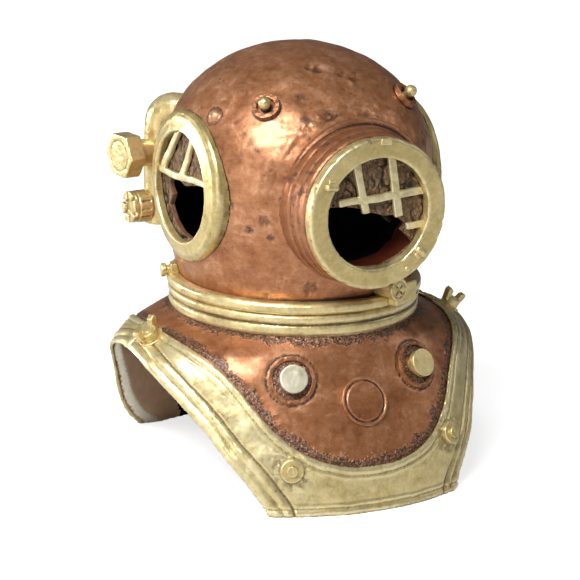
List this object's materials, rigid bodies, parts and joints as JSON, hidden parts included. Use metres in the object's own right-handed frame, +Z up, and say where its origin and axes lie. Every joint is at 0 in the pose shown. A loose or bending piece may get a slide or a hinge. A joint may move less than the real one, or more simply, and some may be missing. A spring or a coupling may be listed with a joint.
{
  "type": "bubbling aquarium ornament",
  "caption": "Open-bottomed diver's helmet ornament with barred broken windows, arched shoulders, a swivelling air nozzle at the back and an air stone on a riser inside.",
  "frame": {"origin": "middle of the footprint on the tank floor, below the middle of the bounding box", "axes": "+Z up through the crown; the front window faces -Y; the wearer's right hand is at -X"},
  "size_m": [0.1532, 0.1501, 0.1728],
  "materials": {
    "copper_shell": "cast resin, hammered, painted antique copper",
    "copper_fittings": "cast resin painted antique copper",
    "brass_fittings": "cast resin painted pale antique brass",
    "brass_bars": "cast resin painted pale brass",
    "brass_straps": "cast resin painted pale antique brass, brushed",
    "pane_bark": "cast resin, cracked, dark brown wash",
    "rubber_grommet": "matt black",
    "air_plastic": "moulded black",
    "clear_plastic": "milky rigid airline",
    "air_stone": "porous blue-grey"
  },
  "bodies": {
    "helmet": {"air_manifold": "air_plastic", "back_brail": "brass_straps", "bonnet_neck_ring": "brass_fittings", "bonnet_shell": "copper_shell", "brail_boss_back_left": "brass_fittings", "brail_boss_back_right": "brass_fittings", "brail_boss_front_left": "brass_fittings", "brail_boss_front_right": "brass_fittings", "brail_stud_back_left": "brass_fittings", "brail_stud_back_right": "brass_fittings", "brail_stud_front_left": "brass_fittings", "brail_stud_front_right": "brass_fittings", "breast_peg_left": "brass_fittings", "breast_peg_right": "brass_fittings", "breast_washer_left": "copper_fittings", "breast_washer_right": "copper_fittings", "corselet_neck_ring": "brass_fittings", "corselet_shell": "copper_shell", "crown_stud_left": "brass_fittings", "crown_stud_right": "brass_fittings", "crown_washer_left": "copper_fittings", "crown_washer_right": "copper_fittings", "front_brail": "brass_straps", "front_window_catch": "brass_fittings", "front_window_frame": "brass_fittings", "front_window_grille": "brass_bars", "front_window_hinge": "brass_fittings", "front_window_pads": "brass_fittings", "front_window_pane": "pane_bark", "front_window_tube": "copper_fittings", "gooseneck_pipe": "brass_fittings", "inlet_grommet": "rubber_grommet", "inlet_neck": "brass_fittings", "inlet_nut": "brass_fittings", "left_window_frame": "brass_fittings", "left_window_grille": "brass_bars", "left_window_pane": "pane_bark", "medallion_plate": "copper_fittings", "neck_lock_bracket": "brass_fittings", "neck_lock_knob": "brass_fittings", "right_window_frame": "brass_fittings", "right_window_grille": "brass_bars", "right_window_pane": "pane_bark", "riser_clip": "air_plastic", "riser_tube": "clear_plastic", "shoulder_stud_left": "brass_fittings", "shoulder_stud_right": "brass_fittings", "shoulder_wing_nut_left": "brass_fittings", "shoulder_wing_nut_right": "brass_fittings", "spitcock_body": "brass_fittings", "spitcock_disc": "brass_fittings", "valve_body": "brass_fittings", "valve_cap": "brass_fittings"},
    "nozzle": {"air_nozzle": "air_plastic"},
    "stone": {"air_stone": "air_stone", "stone_stem": "air_plastic"}
  },
  "joints": [
    {"name": "nozzle_swivel", "type": "hinge", "parent": "helmet", "child": "nozzle", "pos_m": [0, 0.0723, 0.012], "axis": [0, 1, 0], "range_deg": [-90, 90]},
    {"name": "stone_pull_off", "type": "slide", "parent": "helmet", "child": "stone", "axis": [0, 0, 1], "range_m": [0, 0.009]}
  ]
}
